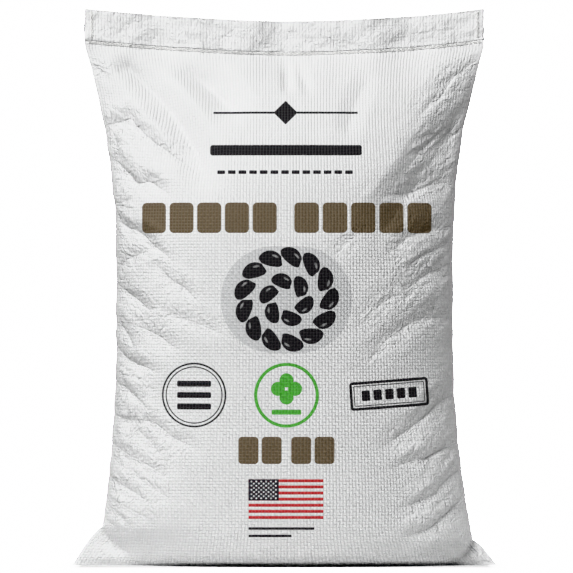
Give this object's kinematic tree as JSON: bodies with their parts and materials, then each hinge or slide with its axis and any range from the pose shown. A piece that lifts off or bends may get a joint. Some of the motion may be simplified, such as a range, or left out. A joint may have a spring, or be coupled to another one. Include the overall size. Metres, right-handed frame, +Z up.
{
  "type": "filled woven sack of dried beans",
  "caption": "Shut woven plastic sack filled with dried beans, sewn flat across the top, with two corner flaps at the base; it stands upright.",
  "frame": {"origin": "middle of the sack's box on the floor, under the filled body", "axes": "+Z up along the sack's height, +X to the right along its width, -Y out of the printed front, +Y to its back"},
  "size_m": [0.378, 0.1493, 0.4965],
  "materials": {
    "cloth": "white woven polypropylene tape, low sheen, printed in dark brown, black, green and red",
    "thread": "white spun sewing thread, matte"
  },
  "bodies": {
    "root": {"sack": "cloth", "hem_stitches_front": "thread", "hem_stitches_back": "thread", "end_stitches_left_front": "thread", "end_stitches_left_back": "thread", "end_stitches_right_front": "thread", "end_stitches_right_back": "thread"}
  },
  "joints": []
}
